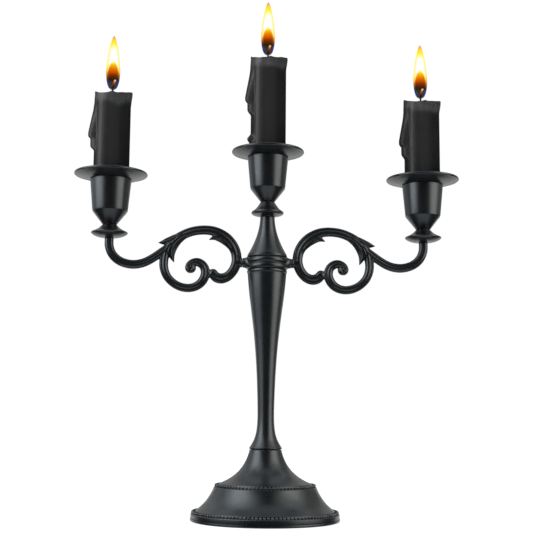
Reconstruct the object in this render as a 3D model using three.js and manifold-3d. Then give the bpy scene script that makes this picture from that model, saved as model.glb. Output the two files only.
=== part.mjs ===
// Tabletop candelabra: a turned column on a stepped round foot, carrying one candle cup on top and
// two more on scrolled side arms. Millimetres, +Z up. The foot stands on z = 0, the column's axis is
// Z and the arms lie along X. Every piece that comes apart on a bench is a mesh of its own.
import * as THREE from 'three';
import { mergeVertices } from 'three/addons/utils/BufferGeometryUtils.js';
import Module from 'manifold-3d';

const wasm = await Module();
wasm.setup();

// ---------- driving dimensions ----------

const GAP = 0.3; // clearance between pieces that touch
const CENTRE_RIM_Z = 262; // rim of the centre drip pan
const SIDE_RIM_Z = 243.6; // rims of the side drip pans
const ARM_REACH = 112.6; // column axis to side cup axis
const ARM_Z = 179.9; // centre line of the joint between hub and arm

const FOOT_R = 51.5; // the foot's rim
const STEM_BASE_Z = 48.8; // the stem stands here, on top of the foot
const HUB_BASE_Z = 175.2; // the hub ring stands here, on top of the stem
const HUB_TOP_Z = 183.3;
const HUB_R = 14.9;
const BELL_BASE_Z = HUB_TOP_Z + GAP;
const BELL_TOP_Z = 213;

const ROD_R = 3; // M6 tie rod on the column's axis
const ROD_HOLE_R = ROD_R + 0.4;
const SCREW_R = 1.75; // M4 screw that holds each cup
const SCREW_HOLE_R = SCREW_R + 0.4; // clearance hole through the cup and the knop
const SCREW_HEAD_R = 3.9;
const CENTRE_SCREW_TIP_Z = 203;
const SIDE_SCREW_TIP_Z = 190;
const CUP_H = 37.5; // neck of a cup up to the rim of its pan
const SOCKET_DEPTH = 25.5; // pan rim down to the floor of the socket
const WELL_DEPTH = 29.5; // pan rim down to the seat of the cup's screw
const PAN_R = 26.1;
const PAN_HOLE_R = 13.95; // slips over the collar on top of the cup

const CANDLE_R = 12.8;
const BUTT_R = 10.8; // lower end of the candle, which tapers in the socket
const CENTRE_CANDLE_H = 70.5; // candle top above its pan rim
const RIGHT_CANDLE_H = 58.6;
const LEFT_CANDLE_H = 60; // this one has burnt down less
const WICK_R = 0.75;
const WICK_H = 8.5; // wick above the candle
const FLAME_BASE = 2.5; // flame starts this far above the candle
const FLAME_H = 39;
const FLAME_R = 5.2;

// Sides of the round pieces, by size.
const FOOT_SIDES = 32;
const COLUMN_SIDES = 24;
const CUP_SIDES = 24;
const SMALL_SIDES = 12;

// ---------- materials ----------

const finish = (color, roughness, metalness) =>
  new THREE.MeshStandardMaterial({ color, roughness, metalness });
const BLACK = finish(0x17191b, 0.42, 0.55); // satin black enamel on cast metal
const STEEL = finish(0x8a8c8e, 0.4, 0.9);
const FELT = finish(0x121212, 0.95, 0);
const WAX = finish(0x262626, 0.5, 0);
const COTTON = finish(0x1b1410, 0.9, 0);
const FIRE = new THREE.MeshStandardMaterial({ color: 0xffb340, emissive: 0xff9a20, roughness: 0.5 });

// ---------- shape helpers ----------

// A turned solid: the outline is a list of [radius, height] pairs that starts and ends on the axis
// or closes on itself, and runs anticlockwise in the radius-height plane.
function turned(outline, sides = COLUMN_SIDES) {
  const points = outline.map(([r, z]) => new THREE.Vector2(r, z));
  return new THREE.LatheGeometry(points, sides).rotateX(Math.PI / 2);
}

// The points of a cubic curve between two [radius, height] pairs, with its two handles.
function sweep(from, handle1, handle2, to, steps) {
  const [a, b, c, d] = [from, handle1, handle2, to].map(([r, z]) => new THREE.Vector2(r, z));
  return new THREE.CubicBezierCurve(a, b, c, d).getPoints(steps).map(p => [p.x, p.y]);
}

// A round bar along a curve in the X-Z plane through [x, z] pairs.
function bar(path, radius, steps) {
  const curve = new THREE.CatmullRomCurve3(path.map(([x, z]) => new THREE.Vector3(x, 0, z)));
  const section = new THREE.Shape().absarc(0, 0, radius, 0, 2 * Math.PI);
  const options = { steps, curveSegments: 4, bevelEnabled: false, extrudePath: curve };
  return new THREE.ExtrudeGeometry(section, options);
}

// A flat leaf in the X-Z plane, with its thickness centred on that plane.
function leaf(outline, thickness) {
  const shape = new THREE.Shape(outline.map(([x, z]) => new THREE.Vector2(x, z)));
  const plate = new THREE.ExtrudeGeometry(shape, { depth: thickness, bevelEnabled: false });
  return plate.translate(0, 0, -thickness / 2).rotateX(Math.PI / 2);
}

// A cylinder along X between two places.
function pinAlongX(radius, x0, x1, z, sides = SMALL_SIDES) {
  const pin = new THREE.CylinderGeometry(radius, radius, x1 - x0, sides).rotateZ(Math.PI / 2);
  return pin.translate((x0 + x1) / 2, 0, z);
}

function ball(radius, x, z) {
  return new THREE.SphereGeometry(radius, 8, 6).translate(x, 0, z);
}

// Merges what shares a place and drops the empty triangles at the poles, for the boolean library.
function solid(geometry) {
  const bare = geometry.clone();
  bare.deleteAttribute('normal');
  bare.deleteAttribute('uv');
  const merged = mergeVertices(bare, 1e-4);
  const corners = merged.index.array;
  const triangles = [];
  for (let i = 0; i < corners.length; i += 3) {
    const [a, b, c] = corners.slice(i, i + 3);
    if (a !== b && b !== c && c !== a) triangles.push(a, b, c);
  }
  return new wasm.Manifold(new wasm.Mesh({
    numProp: 3,
    vertProperties: merged.attributes.position.array,
    triVerts: new Uint32Array(triangles),
  }));
}

function geometryOf(manifold) {
  const mesh = manifold.getMesh();
  const geometry = new THREE.BufferGeometry();
  geometry.setAttribute('position', new THREE.BufferAttribute(mesh.vertProperties, 3));
  geometry.setIndex(new THREE.BufferAttribute(mesh.triVerts, 1));
  geometry.computeVertexNormals();
  return geometry;
}

const joined = geometries => geometries.map(solid).reduce((all, one) => all.add(one));

const candelabra = new THREE.Group();

function place(name, geometry, material, group = candelabra) {
  const mesh = new THREE.Mesh(geometry, material);
  mesh.name = name;
  group.add(mesh);
}

// ---------- foot ----------

const RIM_BASE_Z = 0.2;
const PLATE_R = 47.2;
const PLATE_BASE_Z = 1.5;
const PLATE_THICK = 1.1;
const FELT_R = 46.8;
const FOOT_CEILING_Z = 44.4; // underside of the foot's top, where the washer bears

// Cast shell of two tiers, each a hollow flare that ends in a raised border above a step.
function footShell() {
  const ledge = PLATE_BASE_Z + PLATE_THICK + GAP;
  return turned([
    [PLATE_R + 0.4, RIM_BASE_Z],
    [FOOT_R - 0.5, RIM_BASE_Z],
    [FOOT_R, 1],
    [FOOT_R, 5.4],
    [FOOT_R - 0.8, 6.6],
    [FOOT_R - 1.9, 7.1],
    [FOOT_R - 3.7, 6],
    ...sweep([47.3, 7], [47.6, 8.2], [40, 9.7], [34.9, 23.8], 6),
    [34.7, 24.6],
    [33.4, 25.6],
    [32.3, 25.2],
    [31.5, 24.3],
    ...sweep([31, 24.6], [16.4, 32.1], [13, 40.8], [11.2, STEM_BASE_Z - GAP], 8),
    [ROD_HOLE_R, STEM_BASE_Z - GAP],
    [ROD_HOLE_R, FOOT_CEILING_Z],
    [9, FOOT_CEILING_Z],
    [11, 37],
    [18.6, 28],
    [30, 22.8],
    [35, 14],
    [45, 5],
    [45, ledge],
    [PLATE_R + 0.4, ledge],
    [PLATE_R + 0.4, RIM_BASE_Z],
  ], FOOT_SIDES);
}

function disc(radius, base, thickness, sides) {
  const top = base + thickness;
  return turned([[0, base], [radius, base], [radius, top], [0, top]], sides);
}

function ring(inner, outer, base, top, sides = SMALL_SIDES) {
  return turned([[inner, base], [outer, base], [outer, top], [inner, top], [inner, base]], sides);
}

place('foot_shell', footShell(), BLACK);
place('foot_plate', disc(PLATE_R, PLATE_BASE_Z, PLATE_THICK, FOOT_SIDES), STEEL);
place('foot_felt', disc(FELT_R, 0, PLATE_BASE_Z - GAP, FOOT_SIDES), FELT);

// ---------- column ----------

const WASHER_THICK = 1.5;
const NUT_THICK = 5;
const washerBase = FOOT_CEILING_Z - GAP - WASHER_THICK;
const nutBase = washerBase - GAP - NUT_THICK;
const rodBase = nutBase - 4;
const ROD_TOP_Z = 195;

// Long tapering tube, narrowest above its foot, with a thin lip at each end.
function stem() {
  const waist = [5.85, 76];
  return turned([
    [3.8, STEM_BASE_Z],
    [10.9, STEM_BASE_Z],
    [11.5, 49.3],
    [11.5, 50],
    ...sweep([10.9, 50.6], [7.6, 56], [5.6, 58.9], waist, 6),
    ...sweep(waist, [6.9, 130.8], [12.2, 146.4], [13.8, 172.4], 7).slice(1),
    [14.3, 172.9],
    [14.3, HUB_BASE_Z - GAP],
    [11.4, HUB_BASE_Z - GAP],
    [11.4, 171],
    [8.4, 146],
    [4.4, 110],
    [3.8, 90],
    [3.8, STEM_BASE_Z],
  ]);
}

// Bell-shaped collar that screws down on the tie rod and clamps the hub ring to the stem.
function bellSpindle() {
  return turned([
    [0, ROD_TOP_Z + 1],
    [ROD_R + GAP, ROD_TOP_Z + 1],
    [ROD_R + GAP, BELL_BASE_Z],
    [13.7, BELL_BASE_Z],
    [14.3, BELL_BASE_Z + 0.4],
    [14.3, BELL_BASE_Z + 1.4],
    ...sweep([14, 185.7], [10.5, 191.8], [5.6, 201.2], [5.15, BELL_TOP_Z], 6),
    [SCREW_R + GAP, BELL_TOP_Z],
    [SCREW_R + GAP, CENTRE_SCREW_TIP_Z - 1],
    [0, CENTRE_SCREW_TIP_Z - 1],
  ]);
}

// Hexagonal prism with a round hole.
function nut(acrossCorners, base, thickness) {
  const corners = [0, 1, 2, 3, 4, 5].map(i => i * Math.PI / 3);
  const radius = acrossCorners / 2;
  const outline = corners.map(a => new THREE.Vector2(radius * Math.cos(a), radius * Math.sin(a)));
  const shape = new THREE.Shape(outline);
  shape.holes.push(new THREE.Path().absarc(0, 0, ROD_R + GAP, 0, 2 * Math.PI));
  const options = { depth: thickness, curveSegments: SMALL_SIDES / 2, bevelEnabled: false };
  return new THREE.ExtrudeGeometry(shape, options).translate(0, 0, base);
}

place('stem', stem(), BLACK);
place('bell_spindle', bellSpindle(), BLACK);
place('tie_rod', disc(ROD_R, rodBase, ROD_TOP_Z - rodBase, SMALL_SIDES), STEEL);
place('tie_rod_washer', ring(ROD_R + GAP, 8, washerBase, washerBase + WASHER_THICK), STEEL);
place('tie_rod_nut', nut(11.5, nutBase, NUT_THICK), STEEL);

// ---------- hub ring and scrolled arms ----------

const SPIGOT_R = 10.9;
const SPIGOT_BASE_Z = 171.8;
const LUG_R = 3.4;
const LUG_END_X = 17.5;
const STUD_R = 1.45;
const STUD_X = [13.3, 22];

// Ring of two rounded bands, a spigot that centres it in the stem, and a lug for each arm.
function hubRing() {
  const body = solid(turned([
    [ROD_HOLE_R, SPIGOT_BASE_Z],
    [SPIGOT_R, SPIGOT_BASE_Z],
    [SPIGOT_R, HUB_BASE_Z],
    [HUB_R - 0.7, HUB_BASE_Z],
    [HUB_R, 176.4],
    [HUB_R, 177.8],
    [HUB_R - 0.7, 179.3],
    [HUB_R - 0.2, 180.4],
    [HUB_R - 0.2, 182],
    [HUB_R - 0.9, HUB_TOP_Z],
    [ROD_HOLE_R, HUB_TOP_Z],
    [ROD_HOLE_R, SPIGOT_BASE_Z],
  ]));
  const lugs = solid(pinAlongX(LUG_R, -LUG_END_X, LUG_END_X, ARM_Z));
  const through = HUB_TOP_Z + 1 - SPIGOT_BASE_Z;
  const bore = solid(disc(ROD_HOLE_R, SPIGOT_BASE_Z, through, COLUMN_SIDES));
  const holes = [-1, 1].map(side => {
    const ends = [STUD_X[0] - GAP, LUG_END_X + 1].map(x => side * x).sort((a, b) => a - b);
    return solid(pinAlongX(STUD_R + GAP, ...ends, ARM_Z));
  });
  return geometryOf(body.add(lugs).subtract(bore).subtract(holes[0]).subtract(holes[1]));
}

// The arm towards +X: a bar that drops from the side cup and rises to the crossing, a large scroll
// from there over the top and round to the hub, and a small scroll coiled below.
const BAR_TOP_Z = 196.3;
const MAIN_BAR = [
  [ARM_REACH, BAR_TOP_Z], [112.5, 191], [110.6, 185.5], [106.6, 181.1], [101.2, 178.5], [95, 177.6],
  [88.2, 178.8], [81.9, 182], [75.6, 186.5], [69.5, 191.6],
];
const LARGE_SCROLL = [
  [70, 191.5], [64.3, 196.8], [55.2, 201.5], [46.3, 203.1], [37.6, 202.2], [29, 197.4], [23.4, 189.9],
  [21.8, 182], [23.6, 175.2], [28, 170], [32.6, 168.4], [36.2, 169.3], [38.4, 171.6],
];
const SMALL_SCROLL = [
  [72.4, 187], [73.9, 180.8], [73.5, 175.3], [70.9, 169.1], [65.8, 164.1], [59.6, 161.4], [53.6, 161.3],
  [48.4, 163.7], [44.9, 168.2], [43.9, 173.2], [45.6, 177.5], [49.4, 180.1], [52.9, 179.3], [54.9, 175.9],
];
const OUTER_LEAF = [[66, 199.6], [71.5, 196.6], [77.7, 193.6], [74.4, 191.5], [70, 189], [65, 195]];
const INNER_LEAF = [
  [56.5, 198.2], [62, 193.8], [65.4, 189.5], [66.4, 185.5], [66.2, 179.6], [69.3, 182.3], [73, 184],
  [71, 191], [62, 200],
];
const UPPER_LEAF = [
  [45, 202], [39.9, 199.4], [41.4, 196.3], [37.5, 196.1], [33, 194.8], [28.5, 191.5], [28, 198],
];

function arm() {
  const casting = joined([
    bar(MAIN_BAR, 3.2, 15),
    bar(LARGE_SCROLL, 3.4, 22),
    bar(SMALL_SCROLL, 3, 26),
    ball(3.4, ...LARGE_SCROLL.at(-1)),
    ball(3.7, ...SMALL_SCROLL.at(-1)),
    leaf(OUTER_LEAF, 4),
    leaf(INNER_LEAF, 3.6),
    leaf(UPPER_LEAF, 3.6),
    pinAlongX(3.1, LUG_END_X + GAP, STUD_X[1], ARM_Z),
  ]);
  const studHole = solid(pinAlongX(STUD_R + GAP, LUG_END_X - 1, STUD_X[1] + GAP, ARM_Z));
  const screwHole = disc(SCREW_R + GAP, SIDE_SCREW_TIP_Z - 1, 10, SMALL_SIDES).translate(ARM_REACH, 0, 0);
  return geometryOf(casting.subtract(studHole).subtract(solid(screwHole)));
}

// ---------- cup, knop and pan; heights are below the pan's rim ----------

function cup() {
  return turned([
    [SCREW_HOLE_R, -CUP_H],
    [5.2, -CUP_H],
    [9.2, -32.1],
    [12.2, -28.3],
    [12.6, -27],
    [14.65, -5.6],
    [14.65, -4.9],
    [13.6, -4.9],
    [13.6, -2.9],
    [13.1, -2.9],
    [11.2, -SOCKET_DEPTH],
    [6, -SOCKET_DEPTH],
    [6, -WELL_DEPTH],
    [SCREW_HOLE_R, -WELL_DEPTH],
    [SCREW_HOLE_R, -CUP_H],
  ], CUP_SIDES);
}

// Shallow dished ring with a rolled lip.
function dripPan() {
  return turned([
    [PAN_HOLE_R, -4.6],
    [16, -4.6],
    [21.9, -3.2],
    [PAN_R - 1.3, -1.9],
    [PAN_R - 0.4, -1.8],
    [PAN_R, -1],
    [PAN_R - 0.4, -0.1],
    [PAN_R - 1, -0.1],
    [PAN_R - 1.6, -0.8],
    [21.6, -1.9],
    [15.8, -3.3],
    [PAN_HOLE_R, -3.4],
    [PAN_HOLE_R, -4.6],
  ], CUP_SIDES);
}

// Pan-head screw from the socket's well down into the piece that carries the cup.
function cupScrew(tip) {
  const seat = GAP - WELL_DEPTH;
  return turned([
    [0, tip],
    [SCREW_R, tip],
    [SCREW_R, seat],
    [SCREW_HEAD_R, seat],
    [SCREW_HEAD_R, seat + 1.6],
    [SCREW_HEAD_R - 1.1, seat + 2.5],
    [0, seat + 2.5],
  ], SMALL_SIDES);
}

// Flanged knop under the centre cup; base and top are its own heights.
function centreKnop(base, top) {
  return turned([
    [SCREW_HOLE_R, base],
    [5.3, base],
    [7, base + 1],
    [10.8, base + 1.7],
    [11.6, base + 2.6],
    [11.4, base + 3.9],
    [7.6, base + 7.4],
    [5, top],
    [SCREW_HOLE_R, top],
    [SCREW_HOLE_R, base],
  ], CUP_SIDES);
}

// Wider double-cone knop between a side cup and its arm.
function sideKnop(base, top) {
  return turned([
    [SCREW_HOLE_R, base],
    [4.2, base],
    [9.4, base + 1.3],
    [13, base + 2.9],
    [13.1, base + 3.6],
    [9, base + 6],
    [5.1, top],
    [SCREW_HOLE_R, top],
    [SCREW_HOLE_R, base],
  ], CUP_SIDES);
}

// ---------- candle, wick and flame; heights are above the pan's rim ----------

// Dinner candle with a tapered butt for the socket and a slightly dished top.
function candle(top) {
  const bore = WICK_R + GAP;
  const butt = -SOCKET_DEPTH + GAP;
  return turned([
    [bore, butt],
    [BUTT_R, butt],
    [CANDLE_R, -1.5],
    [CANDLE_R, top - 0.8],
    [CANDLE_R - 0.6, top],
    [8, top - 1.3],
    [bore, top - 1.6],
    [bore, butt],
  ], CUP_SIDES);
}

// Teardrop of burning gas round the top of the wick.
function flame(candleTop) {
  const base = candleTop + FLAME_BASE;
  const bore = WICK_R + GAP;
  const roof = candleTop + WICK_H + GAP;
  return turned([
    [0, roof],
    [bore, roof],
    [bore, base],
    [bore + 0.7, base],
    [FLAME_R * 0.72, base + FLAME_H * 0.13],
    [FLAME_R, base + FLAME_H * 0.35],
    [FLAME_R * 0.83, base + FLAME_H * 0.57],
    [FLAME_R * 0.38, base + FLAME_H * 0.84],
    [0, base + FLAME_H],
  ], SMALL_SIDES);
}

// ---------- assembly ----------

// One knop, cup, pan, screw, candle, wick and flame on the group's own axis.
function candleHolder(side, group, { rimZ, carrierZ, screwTipZ, candleH, knop }) {
  const neckZ = rimZ - CUP_H;
  place(`${side}_knop`, knop(carrierZ + GAP, neckZ - GAP), BLACK, group);
  const holder = new THREE.Group();
  holder.position.z = rimZ;
  group.add(holder);
  place(`${side}_cup`, cup(), BLACK, holder);
  place(`${side}_pan`, dripPan(), BLACK, holder);
  place(`${side}_cup_screw`, cupScrew(screwTipZ - rimZ), STEEL, holder);
  place(`${side}_candle`, candle(candleH), WAX, holder);
  const wickBase = -SOCKET_DEPTH + 2 * GAP;
  place(`${side}_wick`, disc(WICK_R, wickBase, candleH + WICK_H - wickBase, 8), COTTON, holder);
  place(`${side}_flame`, flame(candleH), FIRE, holder);
}

place('hub_ring', hubRing(), BLACK);
candleHolder('centre', candelabra, {
  rimZ: CENTRE_RIM_Z,
  carrierZ: BELL_TOP_Z,
  screwTipZ: CENTRE_SCREW_TIP_Z,
  candleH: CENTRE_CANDLE_H,
  knop: centreKnop,
});

for (const [side, turn, candleH] of [['right', 0, RIGHT_CANDLE_H], ['left', Math.PI, LEFT_CANDLE_H]]) {
  const armSide = new THREE.Group();
  armSide.rotation.z = turn;
  candelabra.add(armSide);
  place(`${side}_arm`, arm(), BLACK, armSide);
  place(`${side}_arm_stud`, pinAlongX(STUD_R, ...STUD_X, ARM_Z), STEEL, armSide);
  const cupAxis = new THREE.Group();
  cupAxis.position.x = ARM_REACH;
  armSide.add(cupAxis);
  candleHolder(side, cupAxis, {
    rimZ: SIDE_RIM_Z,
    carrierZ: BAR_TOP_Z,
    screwTipZ: SIDE_SCREW_TIP_Z,
    candleH,
    knop: sideKnop,
  });
}

export default candelabra;
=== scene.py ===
"""Tabletop candelabra in satin black enamel, with three lit candles.

Detailed meshes, materials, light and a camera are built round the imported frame. Lengths are in
millimetres up to the point where a mesh is made. Most ends and axes of pieces come from the frame's
nodes, and the curves between them are drawn here.
"""
import math
import random

import bmesh
import bpy
import numpy as np
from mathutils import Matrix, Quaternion, Vector


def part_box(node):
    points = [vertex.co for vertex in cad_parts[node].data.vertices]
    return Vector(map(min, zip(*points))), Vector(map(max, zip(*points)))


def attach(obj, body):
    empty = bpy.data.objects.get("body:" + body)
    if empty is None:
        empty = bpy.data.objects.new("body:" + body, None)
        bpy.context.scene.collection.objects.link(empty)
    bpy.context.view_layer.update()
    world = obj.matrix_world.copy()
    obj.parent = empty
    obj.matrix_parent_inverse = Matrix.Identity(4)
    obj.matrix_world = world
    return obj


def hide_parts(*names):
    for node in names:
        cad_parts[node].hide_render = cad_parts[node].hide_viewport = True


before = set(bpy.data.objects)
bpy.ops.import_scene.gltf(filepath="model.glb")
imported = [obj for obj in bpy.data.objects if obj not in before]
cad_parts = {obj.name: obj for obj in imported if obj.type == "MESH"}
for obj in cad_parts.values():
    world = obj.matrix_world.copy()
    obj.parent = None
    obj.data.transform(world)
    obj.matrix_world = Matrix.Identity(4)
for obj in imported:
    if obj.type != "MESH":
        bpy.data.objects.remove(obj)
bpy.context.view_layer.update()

MM = 0.001
SIDES = ("centre", "left", "right")
SCREW_HOLE = 2.15  # radius of the hole through each knop and cup
BODY_OF_HOLDER = {"centre": "column", "left": "arms", "right": "arms"}
scene = bpy.context.scene


def low(node):
    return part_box(node)[0] / MM


def high(node):
    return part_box(node)[1] / MM


# ---------- outlines and meshes ----------


def bezier(start, handle1, handle2, end, steps=14):
    """Points of a cubic curve, without its last one."""
    a, b, c, d = (np.array(p, float) for p in (start, handle1, handle2, end))
    points = []
    for t in np.arange(steps) / steps:
        s = 1 - t
        points.append(tuple(s**3 * a + 3 * s * s * t * b + 3 * s * t * t * c + t**3 * d))
    return points


def eased(outline, radius, closed, steps=4):
    """The outline with each real corner rounded off. A third value on a point is its own radius."""
    corners = [np.array(p[:2], float) for p in outline]
    count = len(corners)
    points = []
    for i, corner in enumerate(corners):
        if not closed and i in (0, count - 1):
            points.append(tuple(corner))
            continue
        back = corners[i - 1] - corner
        ahead = corners[(i + 1) % count] - corner
        reach = min(np.linalg.norm(back), np.linalg.norm(ahead)) * 0.45
        cosine = back @ ahead / (np.linalg.norm(back) * np.linalg.norm(ahead))
        turn = math.pi - math.acos(max(-1, min(1, cosine)))
        own = outline[i][2] if len(outline[i]) > 2 else radius
        cut = min(reach, own * math.tan(turn / 2))
        if turn < math.radians(12) or cut < 0.01:
            points.append(tuple(corner))
            continue
        first = corner + back / np.linalg.norm(back) * cut
        last = corner + ahead / np.linalg.norm(ahead) * cut
        for t in np.linspace(0, 1, steps + 1):
            points.append(tuple((1 - t) ** 2 * first + 2 * t * (1 - t) * corner + t * t * last))
    return points


def grid_faces(rows, columns, wrap_rows):
    """Quads between the rings of a tube; a ring closes on itself."""
    faces = []
    for i in range(rows if wrap_rows else rows - 1):
        near, far = i * columns, (i + 1) % rows * columns
        for j in range(columns):
            k = (j + 1) % columns
            faces.append((near + j, near + k, far + k, far + j))
    return faces


def lathe_mesh(outline, sides, radius=0.25):
    """Vertices and faces of a turned solid. An outline that starts on the axis also ends there."""
    on_axis = outline[0][0] == 0
    points = eased(outline, radius, closed=not on_axis)
    if on_axis:
        poles = points[0], points[-1]
        points = points[1:-1]
    turns = [2 * math.pi * j / sides for j in range(sides)]
    vertices = [(r * math.cos(a), r * math.sin(a), z) for r, z in points for a in turns]
    faces = grid_faces(len(points), sides, wrap_rows=not on_axis)
    if on_axis:
        for pole, ring in zip(poles, (0, (len(points) - 1) * sides)):
            faces += [(ring + j, ring + (j + 1) % sides, len(vertices)) for j in range(sides)]
            vertices.append((0, 0, pole[1]))
    return vertices, faces


def build(name, parts, at=(0, 0, 0), sharp=32):
    """One object from a list of (vertices, faces), moved to a place, all in millimetres."""
    vertices, faces = [], []
    for part_vertices, part_faces in parts:
        base = len(vertices)
        vertices += [tuple(v) for v in part_vertices]
        faces += [tuple(base + i for i in face) for face in part_faces]
    mesh = bpy.data.meshes.new(name)
    mesh.from_pydata((np.array(vertices, float) + np.array(at)) * MM, [], faces)
    tidy = bmesh.new()
    tidy.from_mesh(mesh)
    bmesh.ops.recalc_face_normals(tidy, faces=tidy.faces)
    tidy.to_mesh(mesh)
    tidy.free()
    mesh.shade_smooth()
    mesh.set_sharp_from_angle(angle=math.radians(sharp))
    piece = bpy.data.objects.new(name, mesh)
    scene.collection.objects.link(piece)
    return piece


def turned(name, outline, at=(0, 0, 0), sides=128, radius=0.25):
    return build(name, [lathe_mesh(outline, sides, radius)], at)


def cast(piece, voxel, smoothing):
    """Melts overlapping closed parts into one skin with soft inside corners, as a casting has."""
    bpy.context.view_layer.objects.active = piece
    remesh = piece.modifiers.new("remesh", "REMESH")
    remesh.mode = "VOXEL"
    remesh.voxel_size = voxel * MM
    remesh.use_smooth_shade = True
    smooth = piece.modifiers.new("smooth", "SMOOTH")
    smooth.factor = 0.5
    smooth.iterations = smoothing
    for modifier in (remesh.name, smooth.name):
        bpy.ops.object.modifier_apply(modifier=modifier)
    piece.data.shade_smooth()
    return piece


def smooth_line(points, steps):
    """A line through rows of numbers (x, z, half width): centripetal Catmull-Rom."""
    rows = np.array(points, float)
    rows = np.vstack([2 * rows[0] - rows[1], rows, 2 * rows[-1] - rows[-2]])
    line = []
    for i in range(1, len(rows) - 2):
        p = rows[i - 1 : i + 3]
        gaps = np.maximum(np.linalg.norm(np.diff(p[:, :2], axis=0), axis=1) ** 0.5, 1e-6)
        k = np.concatenate([[0], np.cumsum(gaps)])
        for t in np.linspace(k[1], k[2], steps, endpoint=False):
            level = p
            for span in (1, 2, 3):
                ahead = [(k[j + span] - t) / (k[j + span] - k[j]) for j in range(4 - span)]
                level = [ahead[j] * level[j] + (1 - ahead[j]) * level[j + 1] for j in range(4 - span)]
            line.append(level[0])
    line.append(rows[-2])
    return np.array(line)


def strand_mesh(points, section, start="round", end="round", steps=24):
    """A bar along a line in the X-Z plane. The section lists (across, deep) shares of the half width
    and of the depth; an end is rounded off, or runs out to a point where the width is 0."""
    line = smooth_line(points, steps)
    heading = np.gradient(line[:, :2], axis=0)
    heading /= np.linalg.norm(heading, axis=1)[:, None]
    rings = [(line[i, :2], heading[i], line[i, 2]) for i in range(len(line))]

    def cap(ring, sense):
        centre, ahead, width = ring
        angles = np.linspace(0, math.pi / 2, 6)[1:-1]
        extra = [(centre + sense * ahead * width * math.sin(a), ahead, width, math.cos(a)) for a in angles]
        return extra, centre + sense * ahead * width

    full = [(*ring, 1.0) for ring in rings]
    first_tip, last_tip = rings[0][0], rings[-1][0]
    if end == "round":
        extra, last_tip = cap(rings[-1], 1)
        full += extra
    else:
        full = full[:-1]
    if start == "round":
        extra, first_tip = cap(rings[0], -1)
        full = extra[::-1] + full
    else:
        full = full[1:]
    vertices = []
    for centre, ahead, width, shrink in full:
        normal = np.array([-ahead[1], ahead[0]])
        for across, deep in section(width):
            x, z = centre + normal * across * width * shrink
            vertices.append((x, deep * shrink, z))
    columns = len(section(1.0))
    faces = grid_faces(len(full), columns, wrap_rows=False)
    for tip, ring in ((first_tip, 0), (last_tip, (len(full) - 1) * columns)):
        faces += [(ring + j, ring + (j + 1) % columns, len(vertices)) for j in range(columns)]
        vertices.append((tip[0], 0, tip[1]))
    return vertices, faces


def ball_mesh(radius, centre, rings=10, squash=(1, 1, 1)):
    arc = [(radius * math.sin(a), -radius * math.cos(a)) for a in np.linspace(0, math.pi, rings + 1)]
    arc[0], arc[-1] = (0, -radius), (0, radius)
    vertices, faces = lathe_mesh(arc, rings * 2, radius=0)
    return [tuple(np.array(v) * squash + centre) for v in vertices], faces


# ---------- materials ----------


class Finish:
    """A material in the making: one Principled shader and the nodes that feed it."""

    def __init__(self, name, **values):
        self.material = bpy.data.materials.new(name)
        self.material.use_nodes = True
        self.tree = self.material.node_tree
        self.surface = self.tree.nodes["Principled BSDF"]
        self.set(**values)
        self.place = self.tree.nodes.new("ShaderNodeTexCoord").outputs["Object"]

    def set(self, **values):
        for key, value in values.items():
            self.feed(self.surface.inputs[key.replace("_", " ")], value)

    def feed(self, socket, value):
        if isinstance(value, bpy.types.NodeSocket):
            self.tree.links.new(value, socket)
        else:
            socket.default_value = (*value, 1) if socket.type == "RGBA" else value

    def node(self, kind, output=0, inputs=(), **settings):
        made = self.tree.nodes.new("ShaderNode" + kind)
        for key, value in settings.items():
            setattr(made, key, value)
        for key, value in dict(inputs).items():
            self.feed(made.inputs[key], value)
        return made.outputs[output]

    def noise(self, scale, detail=3.0, roughness=0.55, place=None):
        inputs = {"Vector": place or self.place, "Scale": scale, "Detail": detail, "Roughness": roughness}
        return self.node("TexNoise", inputs=inputs)

    def ramp(self, value, *stops):
        """A colour ramp through (position, colour) stops."""
        made = self.tree.nodes.new("ShaderNodeValToRGB")
        for i, (position, colour) in enumerate(stops):
            if i > 1:
                made.color_ramp.elements.new(position)
            stop = made.color_ramp.elements[i]
            stop.position = position
            stop.color = (*colour, 1)
        self.feed(made.inputs["Fac"], value)
        return made.outputs["Color"]

    def spread(self, value, low_in, high_in, low_out, high_out):
        inputs = {0: value, 1: low_in, 2: high_in, 3: low_out, 4: high_out}
        return self.node("MapRange", inputs=inputs)

    def maths(self, operation, a, b):
        return self.node("Math", operation=operation, inputs={0: a, 1: b})

    def blend(self, share, a, b):
        """The colours a and b mixed: the mix node keeps its colours in sockets 6 and 7."""
        made = self.tree.nodes.new("ShaderNodeMix")
        made.data_type = "RGBA"
        self.feed(made.inputs["Factor"], share)
        self.feed(made.inputs[6], a)
        self.feed(made.inputs[7], b)
        return made.outputs[2]

    def bump(self, height, strength, distance, normal=None):
        inputs = {"Height": height, "Strength": strength, "Distance": distance}
        if normal is not None:
            inputs["Normal"] = normal
        return self.node("Bump", inputs=inputs)


def grey(level):
    return (level, level, level)


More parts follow.
